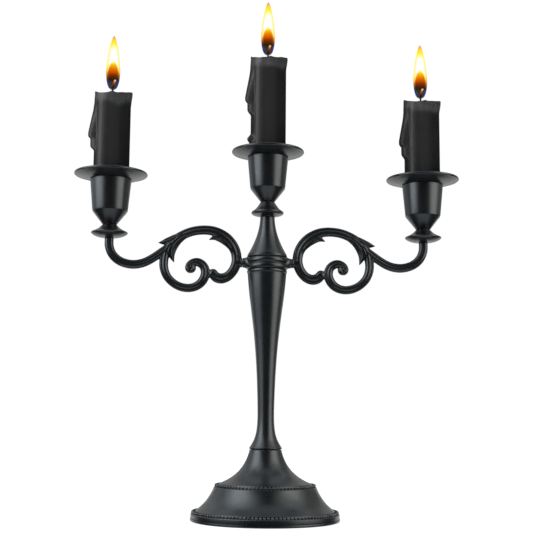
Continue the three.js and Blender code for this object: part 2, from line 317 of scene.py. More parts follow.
def enamel():
    """Satin black stoving enamel: faint orange peel, uneven gloss, edges where it has thinned, and a
    painted highlight on the beads.
    """
    finish = Finish("satin_black_enamel", IOR=1.5)
    cloud = finish.noise(45, 4)
    tone = finish.ramp(cloud, (0.3, (0.0025, 0.003, 0.0036)), (0.7, (0.0042, 0.0048, 0.0054)))
    edge = finish.node("NewGeometry", output="Pointiness")
    worn = finish.spread(edge, 0.54, 0.66, 0.0, 1.0)
    patch = finish.spread(finish.noise(120, 3), 0.42, 0.62, 0.0, 0.7)
    colour = finish.blend(finish.maths("MULTIPLY", worn, patch), tone, (0.009, 0.0098, 0.0105))
    # Painted highlight: the foot's beads are coloured much lighter, in patches, to stand for bright dots of
    # light on them.
    painted_bead_highlight = finish.node("Attribute", output="Fac", attribute_name="painted_bead_highlight")
    colour = finish.blend(finish.maths("MULTIPLY", painted_bead_highlight, patch), colour, (0.06, 0.063, 0.066))
    gloss = finish.spread(finish.noise(170, 5, 0.6), 0.3, 0.7, 0.26, 0.32)
    rough = finish.maths("ADD", gloss, finish.spread(finish.noise(1500, 2), 0.3, 0.7, -0.01, 0.02))
    peel = finish.bump(finish.noise(950, 2), 0.1, 0.00002)
    grain = finish.bump(finish.noise(4200, 2), 0.1, 0.00001, peel)
    finish.set(Base_Color=colour, Roughness=rough, Normal=grain)
    return finish.material


def steel():
    """Turned and rolled steel, with fine tool lines round its axis."""
    finish = Finish("turned_steel", Metallic=1.0)
    stretched = finish.node("Mapping", inputs={"Vector": finish.place, "Scale": (150.0, 150.0, 6000.0)})
    lines = finish.noise(1.0, 3, place=stretched)
    colour = finish.ramp(lines, (0.25, grey(0.34)), (0.75, (0.56, 0.57, 0.58)))
    rough = finish.spread(finish.noise(300), 0.3, 0.7, 0.25, 0.42)
    finish.set(Base_Color=colour, Roughness=rough, Normal=finish.bump(lines, 0.15, 0.00002))
    return finish.material


def felt():
    """Pressed black felt: short tangled fibres with a soft nap."""
    finish = Finish("pressed_felt", Sheen_Weight=0.4, Sheen_Roughness=0.5, Specular_IOR_Level=0.1)
    fibres = finish.noise(2600, 6, 0.75)
    patches = finish.noise(120, 3)
    tone = finish.ramp(fibres, (0.3, grey(0.005)), (0.75, grey(0.03)))
    colour = finish.blend(finish.spread(patches, 0.35, 0.7, 0, 0.4), tone, grey(0.02))
    rough = finish.spread(fibres, 0.2, 0.8, 0.85, 1.0)
    finish.set(Base_Color=colour, Roughness=rough, Normal=finish.bump(fibres, 0.6, 0.0002))
    return finish.material


def wax():
    """Dyed candle wax: satin, a little cloudy, paler where it has melted and set again."""
    finish = Finish(
        "black_wax",
        IOR=1.44,
        Subsurface_Weight=0.12,
        Subsurface_Radius=(0.6, 0.5, 0.4),
        Subsurface_Scale=0.0012,
        Coat_Weight=0.08,
    )
    melt = finish.node("Attribute", output="Fac", attribute_name="melt")
    cloud = finish.noise(70, 4)
    body = finish.ramp(cloud, (0.3, grey(0.014)), (0.72, grey(0.019)))
    flow = finish.node("Mapping", inputs={"Vector": finish.place, "Scale": (1.0, 1.0, 0.35)})
    pale = finish.ramp(finish.noise(260, 4, place=flow), (0.3, grey(0.05)), (0.7, grey(0.11)))
    share = finish.maths("MULTIPLY", melt, finish.spread(finish.noise(150, 3), 0.3, 0.7, 0.4, 1.0))
    colour = finish.blend(share, body, pale)
    streaks = finish.node("Mapping", inputs={"Vector": finish.place, "Scale": (1.0, 1.0, 0.04)})
    drawn = finish.noise(800, 3, place=streaks)
    rough = finish.spread(cloud, 0.3, 0.7, 0.42, 0.52)
    pits = finish.bump(finish.noise(900, 3), 0.15, 0.00005)
    normal = finish.bump(drawn, 0.12, 0.00004, pits)
    finish.set(Base_Color=colour, Roughness=rough, Normal=normal)
    return finish.material


def wick_cotton():
    """Braided cotton: waxed and grey at the candle, charred further up, glowing at its tip."""
    finish = Finish("braided_wick", Specular_IOR_Level=0.2, Emission_Strength=5.0)
    burnt = finish.node("Attribute", output="Fac", attribute_name="burnt")
    braid = finish.node(
        "TexWave",
        bands_direction="DIAGONAL",
        inputs={"Vector": finish.place, "Scale": 1500.0, "Distortion": 1.5, "Detail": 2.0},
    )
    fresh = finish.ramp(braid, (0.2, grey(0.02)), (0.8, (0.07, 0.06, 0.05)))
    char = finish.ramp(braid, (0.2, (0.002, 0.0015, 0.001)), (0.8, (0.02, 0.009, 0.004)))
    finish.set(Base_Color=finish.blend(finish.spread(burnt, 0.2, 0.5, 0, 1), fresh, char))
    ember = finish.ramp(
        burnt,
        (0.0, grey(0)),
        (0.38, grey(0)),
        (0.55, (0.08, 0.014, 0.001)),
        (0.75, (0.4, 0.09, 0.008)),
        (0.88, (0.85, 0.4, 0.1)),
        (1.0, (1.0, 0.75, 0.45)),
    )
    rough = finish.spread(braid, 0, 1, 0.75, 0.95)
    normal = finish.bump(braid, 0.5, 0.0002)
    finish.set(Emission_Color=ember, Roughness=rough, Normal=normal)
    return finish.material


def gas(name, alpha, *stops):
    """Glowing gas, coloured by its height in the flame, which the mesh holds as 'rise'."""
    finish = Finish(name, Base_Color=grey(0), Roughness=1.0, Specular_IOR_Level=0.0, Emission_Strength=1.0)
    rise = finish.node("Attribute", output="Fac", attribute_name="rise")
    flicker = finish.spread(finish.noise(220, 2), 0.2, 0.8, -0.012, 0.012)
    height = finish.maths("ADD", rise, flicker)
    finish.set(Emission_Color=finish.ramp(height, *stops), Alpha=alpha(finish, height))
    finish.material.cycles.emission_sampling = "NONE"
    return finish.material


def veil_alpha(finish, height):
    """The outer gas is thin: clear where it faces the eye, dense at its edges and its top."""
    edge = finish.node("LayerWeight", output="Facing", inputs={"Blend": 0.35})
    thin = finish.spread(edge, 0.15, 0.5, 0.0, 1.0)
    return finish.maths("MAXIMUM", thin, finish.spread(height, 0.74, 0.86, 0.0, 1.0))


def core_alpha(finish, height):
    """The hot gas hides what is behind it above the heart, and only at its edges lower down."""
    edge = finish.node("LayerWeight", output="Facing", inputs={"Blend": 0.35})
    thin = finish.spread(edge, 0.2, 0.5, 0.0, 1.0)
    return finish.maths("MAXIMUM", thin, finish.spread(height, 0.5, 0.6, 0.0, 1.0))


def heart_alpha(finish, height):
    """The inner gas is dark smoke round the wick and solid flame above it."""
    smoke = finish.spread(height, 0.16, 0.22, 0.82, 1.0)
    return finish.maths("MULTIPLY", smoke, finish.spread(height, 0.46, 0.545, 1.0, 0.2))


ENAMEL = enamel()
STEEL = steel()
FELT = felt()
WAX = wax()
WICK = wick_cotton()
VEIL = gas(
    "flame_veil",
    veil_alpha,
    (0.0, (0.02, 0.025, 0.035)),
    (0.05, (0.02, 0.06, 0.2)),
    (0.1, (0.015, 0.09, 0.55)),
    (0.14, (0.015, 0.07, 0.38)),
    (0.175, (0.03, 0.035, 0.045)),
    (0.21, (0.2, 0.09, 0.02)),
    (0.26, (0.6, 0.22, 0.04)),
    (0.31, (0.88, 0.5, 0.07)),
    (0.38, (0.98, 0.78, 0.1)),
    (0.47, (1.0, 0.9, 0.25)),
    (0.62, (1.0, 0.92, 0.2)),
    (0.8, (1.0, 0.92, 0.05)),
    (0.88, (1.0, 0.78, 0.04)),
    (0.94, (1.0, 0.46, 0.12)),
    (0.98, (0.7, 0.35, 0.22)),
)
CORE = gas(
    "flame_core",
    core_alpha,
    (0.28, (1.0, 0.5, 0.02)),
    (0.35, (1.0, 0.75, 0.05)),
    (0.42, (1.0, 0.95, 0.3)),
    (0.48, (1.0, 1.0, 0.8)),
    (0.56, (1.0, 1.0, 1.0)),
    (0.7, (1.0, 1.0, 1.0)),
    (0.77, (1.0, 1.0, 0.55)),
    (0.86, (1.0, 0.98, 0.08)),
)
HEART = gas(
    "flame_heart",
    heart_alpha,
    (0.0, (0.02, 0.008, 0.004)),
    (0.17, (0.02, 0.01, 0.002)),
    (0.21, (0.06, 0.022, 0.003)),
    (0.255, (0.27, 0.03, 0.001)),
    (0.31, (0.62, 0.09, 0.001)),
    (0.37, (0.82, 0.21, 0.002)),
    (0.43, (0.96, 0.46, 0.002)),
    (0.49, (1.0, 0.88, 0.03)),
    (0.545, (1.0, 0.98, 0.4)),
)


def mark(piece, name, values):
    """Stores a number on each vertex, which a material reads by its name."""
    attribute = piece.data.attributes.new(name, "FLOAT", "POINT")
    attribute.data.foreach_set("value", np.array(values, np.float32))


def dress(piece, material, slot, body, *nodes):
    """Gives a piece its material and lets it ride in place of the CAD nodes; slot is not used."""
    piece.data.materials.clear()
    piece.data.materials.append(material)
    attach(piece, body)
    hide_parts(*nodes)
    return piece


# ---------- foot ----------


def bead_row(radius, height, count, size):
    """Small balls sunk to their middles in a turned border."""
    row = []
    for i in range(count):
        turn = 2 * math.pi * i / count
        row.append(ball_mesh(size / 2, (radius * math.cos(turn), radius * math.sin(turn), height), rings=6))
    return row


def foot():
    base, top = low("foot_shell").z, high("foot_shell").z
    rim = high("foot_shell").x
    well = high("foot_plate").x + 0.4
    ledge = high("foot_plate").z + 0.3
    bore, ceiling = 3.4, 44.4
    outline = [
        (well, base, 0.1),
        (rim - 0.3, base, 0.3),
        (rim + 0.3, 0.7, 0.4),
        (rim + 0.25, 2.0, 0.05),
        (rim - 0.28, 2.2, 0.05),
        (rim - 0.02, 2.45, 0.05),
        (rim, 4.9, 0.3),
        (rim - 0.45, 5.45, 0.2),
        (rim - 0.95, 5.4, 0.05),
        (rim - 1.5, 5.9),
        (rim - 2.2, 5.6, 0.05),
        (rim - 2.9, 4.7, 0.2),
        (rim - 3.6, 4.9, 0.1),
        (48.1, 6.6, 0.3),
        *bezier((48.0, 7.1), (44.8, 9.9), (40.2, 12.8), (35.8, 22.6), 24),
        (35.7, 23.0, 0.1),
        (35.3, 23.3, 0.05),
        (34.8, 23.4, 0.05),
        (34.4, 24.0, 0.2),
        (33.7, 24.4, 0.3),
        (33.0, 24.1, 0.2),
        (32.5, 24.1, 0.1),
        (32.2, 25.0, 0.2),
        *bezier((31.9, 25.5), (21.5, 29.8), (14.4, 35.6), (11.2, top - 0.2), 32),
        (11.2, top, 0.2),
        (bore, top),
        (bore, ceiling),
        (9, ceiling),
        (11, 37, 3),
        (18.6, 28, 3),
        (30, 22.8, 3),
        (35, 14, 3),
        (45, 5, 2),
        (45, ledge),
        (well, ledge),
    ]
    turned_shell = lathe_mesh(outline, 256)
    rim_row = bead_row(rim - 1.45, 6.15, 120, 2.0)
    upper_row = bead_row(34.25, 24.3, 82, 2.0)
    shell = build("foot", [turned_shell, *rim_row, *upper_row], sharp=50)
    # Every bead vertex is marked for the enamel's painted highlight.
    painted_bead_highlight = np.zeros(len(shell.data.vertices))
    painted_bead_highlight[len(turned_shell[0]) :] = 1
    mark(shell, "painted_bead_highlight", painted_bead_highlight)
    dress(shell, ENAMEL, "black_metal", "column", "foot_shell")

    radius, thick = high("foot_felt").x, high("foot_felt").z
    pad = turned("felt_pad", [(0, 0), (radius, 0, 0.2), (radius, thick, 0.4), (0, thick)])
    dress(pad, FELT, "felt", "column", "foot_felt")


# ---------- column ----------


def stem():
    base, top = low("stem").z, high("stem").z
    waist = (5.85, 76)
    bore, socket = 3.8, 11.4
    outline = [
        (bore, base),
        (10.8, base, 0.3),
        (11.45, base + 0.45, 0.3),
        (11.5, base + 1.0, 0.3),
        (11.1, base + 1.5, 0.15),
        *bezier((10.9, base + 1.8), (7.6, 56), (5.6, 58.9), waist, 20),
        *bezier(waist, (6.9, 130.8), (12.2, 146.4), (13.75, 172.2), 30),
        (13.8, 172.3, 0.1),
        (14.2, 172.75, 0.3),
        (14.35, 173.4, 0.4),
        (14.2, 174.2, 0.3),
        (13.85, top, 0.1),
        (socket, top),
        (socket, 171),
        (8.4, 146, 5),
        (4.4, 110, 5),
        (bore, 90, 5),
    ]
    dress(turned("column_stem", outline), ENAMEL, "black_metal", "column", "stem")


def bell():
    """Collar with a blind hole below for the tie rod and one above for the cup's screw."""
    base, top = low("bell_spindle").z, high("bell_spindle").z
    rod_hole, rod_end = 3.3, 196
    screw_hole, screw_end = 2.05, 202
    outline = [
        (0, rod_end),
        (rod_hole, rod_end),
        (rod_hole, base),
        (13.8, base, 0.2),
        (14.2, base + 0.5, 0.4),
        (14.25, base + 1.2, 0.3),
        (14.0, base + 1.6, 0.05),
        (14.05, base + 1.9, 0.05),
        *bezier((14.0, base + 2.1), (10.5, 191.8), (5.6, 201.2), (5.2, top - 0.3), 28),
        (5.2, top, 0.2),
        (screw_hole, top),
        (screw_hole, screw_end),
        (0, screw_end),
    ]
    dress(turned("bell_collar", outline), ENAMEL, "black_metal", "column", "bell_spindle")


def arm_axis():
    """Height of the studs that join the arms to the hub."""
    return (low("right_arm_stud").z + high("right_arm_stud").z) / 2


def hub():
    """Two rounded bands round the column, with a flared lug for each arm."""
    base, top = 175.2, high("hub_ring").z  # the bands start just above the stem
    arm_z = arm_axis()
    lug_end = high("hub_ring").x
    bore, spigot = 3.4, 10.9
    ring = [
        (bore, low("hub_ring").z),
        (spigot, low("hub_ring").z),
        (spigot, base),
        (14.1, base, 0.2),
        (14.75, base + 0.7, 0.5),
        (14.95, base + 1.8, 1.0),
        (14.75, base + 2.9, 0.5),
        (14.1, base + 3.6, 0.2),
        (13.75, base + 4.1, 0.1),
        (14.2, base + 4.6, 0.2),
        (14.65, base + 5.3, 0.5),
        (14.75, base + 6.3, 0.8),
        (14.4, base + 7.4, 0.5),
        (13.9, top, 0.2),
        (bore, top),
    ]
    lug_start = 12
    lug = [
        (0, lug_start),
        (4.9, lug_start),
        (4.9, 13.7),
        (4.3, 14.4),
        (3.8, 15.3),
        (3.5, 16.3),
        (3.4, lug_end - 0.2),
        (3.25, lug_end, 0.1),
        (0, lug_end),
    ]
    parts = [lathe_mesh(ring, 192)]
    vertices, faces = lathe_mesh(lug, 64)
    for sense in (1, -1):
        parts.append(([(sense * z, y, arm_z + sense * x) for x, y, z in vertices], faces))
    piece = cast(build("hub_bands", parts), voxel=0.2, smoothing=2)
    dress(piece, ENAMEL, "black_metal", "arms", "hub_ring")


# ---------- arms ----------

ARM_DEPTH = 3.15  # half the thickness of the casting, from its middle plane

# Lines of the right arm's strands as rows of (x, z, half width).
LARGE_SCROLL = [
    (71.5, 190.0, 2.3), (69.2, 192.2, 2.8), (64.3, 196.8, 3.3), (55.2, 201.5, 3.3), (46.3, 203.1, 3.35),
    (37.6, 202.2, 3.5), (29, 197.4, 3.75), (23.4, 189.9, 3.7), (21.8, 182, 3.6), (23.6, 175.2, 3.55),
    (28, 170, 3.55), (32.6, 168.4, 3.7), (36.2, 169.3, 3.7), (38.4, 171.6, 3.5),
]
SMALL_SCROLL = [
    (69.4, 193.0, 1.5), (71.2, 190.6, 2.4), (72.5, 187, 3.1), (73.5, 180.8, 3.2), (73.3, 175.3, 3.15),
    (70.9, 169.2, 3.05), (65.8, 164.2, 3.0), (59.6, 161.6, 3.05), (53.6, 161.5, 3.05), (48.4, 163.8, 3.2),
    (44.9, 168.2, 3.35), (43.9, 173.2, 3.3), (45.6, 177.5, 3.15), (49.6, 179.9, 3.05), (53.6, 179.6, 2.4),
    (56.6, 177.6, 1.5), (57.2, 174.8, 1.1), (55.5, 172.9, 0.95), (53.4, 173.4, 0.8), (52.9, 175.4, 0.7),
    (54.1, 176.6, 0.55),
]
MAIN_BAR = [
    (112.6, 195.8, 3.2), (112.5, 191, 3.2), (110.6, 185.5, 3.2), (106.6, 181.1, 3.2),
    (101.2, 178.5, 3.2), (95, 177.6, 3.2), (88.2, 178.8, 3.15), (81.9, 182, 3.1),
    (75.6, 186.5, 3.0), (69.8, 191.4, 2.4), (65.8, 195.0, 1.6),
]
OUTER_LEAF = [(57, 200.9, 1.2), (64, 198.4, 2.0), (69.5, 195.6, 2.3), (73.6, 193.9, 1.9), (78.1, 193.4, 0)]
INNER_LEAF = [
    (57.3, 199.2, 1.5), (63.0, 195.3, 2.3), (66.8, 190, 2.6), (68.1, 185.3, 2.3), (67.4, 182.2, 1.4),
    (66.1, 179.1, 0),
]
INNER_LOBE = [(64.5, 196.2, 1.3), (68.8, 191, 1.7), (70.7, 186, 1.5), (70.2, 181.2, 0)]
BARB = [(24.0, 184.5, 1.1), (26.2, 190.4, 1.7), (31.2, 195.6, 2.5), (37.0, 197.9, 2.1), (42.0, 195.9, 0)]

# Centres of the flattened balls in the eye of the small scroll and at the end of the large one.
SMALL_SCROLL_EYE = (54.3, 0, 175.6)
LARGE_SCROLL_END = (38.5, 0, 171.7)


def band_section(groove, inner):
    """Section of a scroll: a flattened round with a lengthwise groove on both faces, towards one edge."""

    def section(width):
        points = []
        for k in range(48):
            a = 2 * math.pi * k / 48
            across = math.copysign(abs(math.cos(a)) ** 0.85, math.cos(a))
            dip = groove * math.exp(-(((across - inner) / 0.2) ** 2))
            points.append((across, ARM_DEPTH * math.sin(a) * (1 - dip)))
        return points

    return section


def blade_section(depth):
    """Section of a leaf: a sharp keel along its middle with hollow flanks."""

    def section(width):
        height = depth * min(1, (width / 1.8) ** 0.7)
        half = [(a, height * (1 - 0.75 * abs(a) ** 0.75)) for a in np.linspace(1, -1, 13)]
        return half + [(a, -d) for a, d in half[::-1]]

    return section


def arm_parts():
    arm_z = arm_axis()
    start = low("right_arm").x - 0.15
    parts = [
        strand_mesh(LARGE_SCROLL, band_section(0.3, -0.35)),
        strand_mesh(SMALL_SCROLL, band_section(0.3, 0.35)),
        strand_mesh(MAIN_BAR, band_section(0.16, -0.15)),
        strand_mesh(OUTER_LEAF, blade_section(3.3), end="point"),
        strand_mesh(INNER_LEAF, blade_section(3.7), end="point"),
        strand_mesh(INNER_LOBE, blade_section(3.6), end="point"),
        strand_mesh(BARB, blade_section(3.5), end="point"),
        ball_mesh(3.75, SMALL_SCROLL_EYE, rings=12, squash=(1, 0.7, 1)),
        ball_mesh(3.6, LARGE_SCROLL_END, rings=12, squash=(1, 0.9, 1)),
    ]
    collar = [
        (0, start),
        (3.25, start, 0.1),
        (3.4, start + 0.15, 0.2),
        (3.45, start + 0.7, 0.4),
        (3.1, start + 1.1, 0.1),
        (3.1, start + 5),
        (0, start + 5),
    ]
    vertices, faces = lathe_mesh(collar, 48)
    parts.append(([(z, y, arm_z - x) for x, y, z in vertices], faces))
    return parts


def arms():
    for side, sense in (("right", 1), ("left", -1)):
        parts = [([(sense * x, sense * y, z) for x, y, z in v], f) for v, f in arm_parts()]
        piece = cast(build(f"{side}_scroll_arm", parts), voxel=0.26, smoothing=9)
        dress(piece, ENAMEL, "black_metal", "arms", f"{side}_arm")


# ---------- candle holders ----------


def holder_axis(side):
    node = side + "_cup"
    return (low(node).x + high(node).x) / 2


def knop(side):
    base, top = low(side + "_knop").z, high(side + "_knop").z
    if side == "centre":
        outline = [
            (SCREW_HOLE, base),
            (5.2, base, 0.2),
            (5.9, base + 0.45, 0.5),
            (7.4, base + 0.9),
            (10.5, base + 1.6, 0.8),
            (11.5, base + 2.3, 0.6),
            (11.65, base + 3.0, 0.5),
            (11.2, base + 3.9, 0.35),
            (10.2, base + 4.5),
            *bezier((10.0, base + 4.65), (8.2, base + 6), (6.6, base + 8.2), (5.4, top - 0.5), 8),
            (5.0, top, 0.3),
            (SCREW_HOLE, top),
        ]
    else:
        outline = [
            (SCREW_HOLE, base),
            (4.2, base, 0.3),
            *bezier((4.8, base + 0.05), (8.3, base + 0.2), (11.5, base + 1.6), (12.7, base + 2.7), 10),
            (13.1, base + 3.2, 0.25),
            (12.9, base + 3.75, 0.25),
            *bezier((12.4, base + 4.1), (9.6, base + 5.2), (7.4, base + 6.6), (5.5, top - 0.4), 8),
            (5.1, top, 0.3),
            (SCREW_HOLE, top),
        ]
    piece = turned(side + "_flanged_knop", outline, at=(holder_axis(side), 0, 0))
    dress(piece, ENAMEL, "black_metal", BODY_OF_HOLDER[side], side + "_knop")


def cup(side, rim):
    """Cup with a concave cone below, a straight flaring wall, and a socket for the candle."""
    neck, socket_floor, screw_seat = -37.5, -25.5, -29.5
    outline = [
        (SCREW_HOLE, neck),
        (5.1, neck, 0.3),
        (5.4, -37.2),
        *bezier((5.5, -37.0), (6.7, -35.4), (9.0, -32.4), (11.9, -28.8), 10),
        (12.4, -28.0, 1.2),
        (12.7, -26.4, 1.4),
        (14.65, -5.6, 0.4),
        (14.6, -4.9),
        (13.6, -4.9),
        (13.6, -2.9, 0.3),
        (13.1, -2.9, 0.3),
        (11.2, socket_floor),
        (6, socket_floor),
        (6, screw_seat),
        (SCREW_HOLE, screw_seat),
    ]
    piece = turned(side + "_candle_cup", outline, at=(holder_axis(side), 0, rim), sides=160)
    dress(piece, ENAMEL, "black_metal", BODY_OF_HOLDER[side], side + "_cup")


def pan(side, rim):
    """Shallow pan with a thin rolled lip, a raised seat where it meets the cup, and a dished top."""
    outline = [
        (13.95, -4.7, 0.2),
        (15.3, -4.75, 0.3),
        (16.2, -4.45, 0.6),
        *bezier((17.2, -4.25), (19.5, -3.8), (22.3, -2.95), (24.7, -1.95), 10),
        (25.1, -1.8, 0.05),
        (25.6, -1.85, 0.3),
        (26.1, -1.35, 0.4),
        (26.1, -0.7, 0.4),
        (25.7, -0.1, 0.3),
        (25.2, -0.1, 0.2),
        (24.8, -0.6, 0.4),
        *bezier((24.1, -1.0), (21.4, -1.95), (18.7, -2.9), (16, -3.25), 10),
        (15.2, -3.3, 0.4),
        (14.6, -2.95, 0.3),
        (13.95, -3.0, 0.2),
    ]
    piece = turned(side + "_drip_pan", outline, at=(holder_axis(side), 0, rim), sides=192)
    dress(piece, ENAMEL, "black_metal", BODY_OF_HOLDER[side], side + "_pan")


def cup_screw(side):
    """Button-head screw with a hexagon socket. Its shank reaches the piece that carries the cup."""
    node = side + "_cup_screw"
    tip, top = low(node).z, high(node).z
    head = (high(node).x - low(node).x) / 2
    shank, key, crown = 1.75, 1.5, 2.1
    turns = np.linspace(0, 2 * math.pi, 96, endpoint=False)
    hexagon = key * math.cos(math.pi / 6) / np.cos((turns % (math.pi / 3)) - math.pi / 6)
    dome = [(head * math.cos(a), top - crown + crown * math.sin(a)) for a in np.linspace(0, 1.05, 9)]
    rings = [(0.01, tip), (shank - 0.4, tip), (shank, tip + 0.4)]
    rings += [(shank, top - 2.5), (head - 0.15, top - 2.5), (head, top - 2.35), *dome]
    rings = [(np.full_like(turns, radius), z) for radius, z in rings]
    rings += [(hexagon + 0.12, dome[-1][1]), (hexagon, dome[-1][1] - 0.1), (hexagon, top - 1.5)]
    rings += [(np.full_like(turns, 0.01), top - 1.9)]
    vertices = [(r * math.cos(a), r * math.sin(a), z) for ring, z in rings for r, a in zip(ring, turns)]
    faces = grid_faces(len(rings), len(turns), wrap_rows=False)
    faces += [tuple(range(len(turns))), tuple(range(len(vertices) - len(turns), len(vertices)))]
    piece = build(side + "_button_head_screw", [(vertices, faces)], at=(holder_axis(side), 0, 0), sharp=35)
    dress(piece, STEEL, "steel", BODY_OF_HOLDER[side], node)


# ---------- candles ----------

# How far the run of wax stands proud of the candle, by depth below its top.
RUN_DEPTHS = [0, 3, 8, 14, 20, 27, 31, 33.2, 34.2, 35.2, 36, 38, 41, 42.2, 43, 44]
RUN_PROUD = [0.3, 0.25, 0.6, 1.3, 2.4, 3.7, 4.4, 4.4, 3.9, 2.9, 2.7, 2.7, 2.6, 1.8, 0.8, 0]

# Where things sit round the candle, anticlockwise from the right as seen from above.
RUN_TURN = math.radians(188)
SMALL_BEAD_TURN = math.radians(196)
MOUND_TURN = math.radians(272)
LIP_TURN = math.radians(-8)


def ripple(seed, turn, *harmonics):
    """A smooth random wave round the candle, between about -1 and 1."""
    draw = random.Random(seed)
    total = np.zeros_like(turn)
    for k in harmonics:
        total += math.sqrt(2 / len(harmonics)) * 0.7 * np.cos(k * turn + draw.uniform(0, 2 * math.pi))
    return total


def lump(distance, width):
    return np.exp(-((distance / width) ** 2))


def off(turns, centre):
    """Angles from a place on the candle, between half a turn back and half a turn on."""
    return (turns - centre + math.pi) % (2 * math.pi) - math.pi


def candle(side, rim):
    """Dinner candle with a melted collar, a run of wax down its left side and a dished top."""
    axis = holder_axis(side)
    radius = high(side + "_candle").x - axis
    top = high(side + "_candle").z - rim
    butt = low(side + "_candle").z - rim
    seed = SIDES.index(side)
    turns = np.linspace(0, 2 * math.pi, 180, endpoint=False)
    off_run, off_lip, off_mound = off(turns, RUN_TURN), off(turns, LIP_TURN), off(turns, MOUND_TURN)
    front, back = np.clip(-np.sin(turns), 0, 1), np.clip(np.sin(turns), 0, 1)
    crest = top + 0.5 * lump(off_run, 0.16) - 3.7 * front - 1.2 * back
    mound = 0.7 * lump(off_mound, 0.13) - 0.5 * lump(off_mound + 0.8, 0.4)
    crest += mound + 0.15 * ripple(seed, turns, 5, 7, 11)
    collar = 8.6 + 1.3 * ripple(seed + 10, turns, 2, 3, 5) - 2.0 * lump(off_run, 0.6)

    rows, melts = [], []

    def add(r, z, melt):
        heights = np.broadcast_to(z, turns.shape)
        rows.append(np.stack([r * np.cos(turns), r * np.sin(turns), heights], axis=1))
        melts.append(np.broadcast_to(melt, turns.shape))

    for r, z in ((1.05, butt), (9.5, butt), (10.5, butt + 0.2), (10.8, butt + 0.9), (radius - 0.5, -6.5)):
        add(r, z, 0)
    add(radius, -1.5, 0)
    for share in np.linspace(0, 1, 150):
        depth = (1 - share) * (crest + 1.2)
        z = crest - depth
        below = depth + top - crest
        proud = np.interp(depth, RUN_DEPTHS, RUN_PROUD)
        spread = 0.26 + 0.1 * np.clip(depth / 30, 0, 1)
        wax_run = proud * np.exp(-(np.abs(off_run / spread) ** 3))
        wax_run -= 0.22 * lump(np.abs(off_run) - spread - 0.12, 0.06) * np.clip(proud, 0, 1)
        edge = 1 / (1 + np.exp((below - collar - 1.5) / 0.7))
        band = 0.22 * edge * (1 + 0.4 * ripple(seed + 20, turns, 4, 6, 9))
        lip = 0.9 * lump(off_lip, 0.55) * np.exp(-((depth / 6.0) ** 2.6))
        bead = 0
        if side == "centre":
            bead = 3.1 * lump(off(turns, SMALL_BEAD_TURN), 0.22) * lump(z - 7.6, 3.0)
        shoulder = (-0.45 + 0.35 * lump(off_run, 0.4)) * np.exp(-depth / 0.3)
        melt = np.clip(edge + 0.12 * np.clip(wax_run, 0, 1), 0, 1)
        add(radius + wax_run + band + lip + bead + shoulder, z, melt)
    pool = top - 3.4  # surface of the melted wax
    for share in np.linspace(0.97, 0.08, 24):
        wall = np.clip((share - 0.55) / 0.42, 0, 1) ** 2
        swell = 0.12 * ripple(seed + 30, turns, 2, 3, 5) * share + 0.5 * lump(share, 0.16)
        add((radius - 0.1) * share, pool + (crest - 0.15 - pool) * wall + swell * (1 - wall), 1)

    vertices = np.concatenate(rows)
    faces = grid_faces(len(rows), len(turns), wrap_rows=True)
    piece = build(side + "_dinner_candle", [(vertices, faces)], at=(axis, 0, rim), sharp=60)
    mark(piece, "melt", np.concatenate(melts))
    dress(piece, WAX, "wax", side + "_candle", side + "_candle")


FLAME_DRIFT = -0.7  # a slight draught


def wick(side):
    """Round braid that leaves the wax upright and bends over to the right at its glowing tip."""
    axis = holder_axis(side)
    base, top = low(side + "_wick").z, high(side + "_wick").z + 0.6
    lit = high(side + "_candle").z
    heights = np.concatenate([np.linspace(base, lit - 2.5, 12), np.linspace(lit - 2, top, 40)])
    sides = 16
    vertices, burnt = [], []
    for z in heights:
        above = max(0, (z - lit) / (top - lit))
        lean = FLAME_DRIFT + 1.6 * above**2
        thick = 0.66 * (1 + 0.12 * above) * (1 + 0.06 * math.sin(z * 5))
        for j in range(sides):
            a = 2 * math.pi * j / sides + z * 0.8
            strand = 1 + 0.08 * math.cos(3 * a)
            vertices.append((lean + thick * strand * math.cos(a), thick * strand * math.sin(a), z))
            burnt.append(above)
    faces = grid_faces(len(heights), sides, wrap_rows=False)
    faces += [tuple(range(sides)), tuple(range(len(vertices) - sides, len(vertices)))]
    piece = build(side + "_braided_wick", [(vertices, faces)], at=(axis, 0, 0), sharp=60)
    mark(piece, "burnt", burnt)
    dress(piece, WICK, "wick", side + "_candle", side + "_wick")


FLAME_EXTRA = 1.2  # the gas reaches this far past the CAD's flame, below and above

# Half widths of the flame's shells, by share of its height.
VEIL_SHARES = [0, 0.008, 0.03, 0.085, 0.145, 0.2, 0.28, 0.38, 0.475, 0.57, 0.67, 0.77, 0.865, 0.94, 0.98, 1]
VEIL_WIDTHS = [0, 1.3, 2.6, 3.8, 4.4, 4.75, 5.1, 5.15, 4.85, 4.4, 3.85, 3.1, 2.25, 1.35, 0.75, 0]
CORE_SHARES = [0.28, 0.31, 0.36, 0.42, 0.475, 0.57, 0.67, 0.77, 0.84, 0.88]
CORE_WIDTHS = [0, 3.6, 4.2, 4.2, 3.9, 3.4, 2.8, 1.9, 1.0, 0]
HEART_SHARES = [0.02, 0.045, 0.085, 0.145, 0.2, 0.255, 0.31, 0.37, 0.43, 0.49, 0.545]
HEART_WIDTHS = [0, 2.2, 3.4, 4.1, 4.4, 4.6, 4.3, 3.7, 2.9, 1.9, 0]


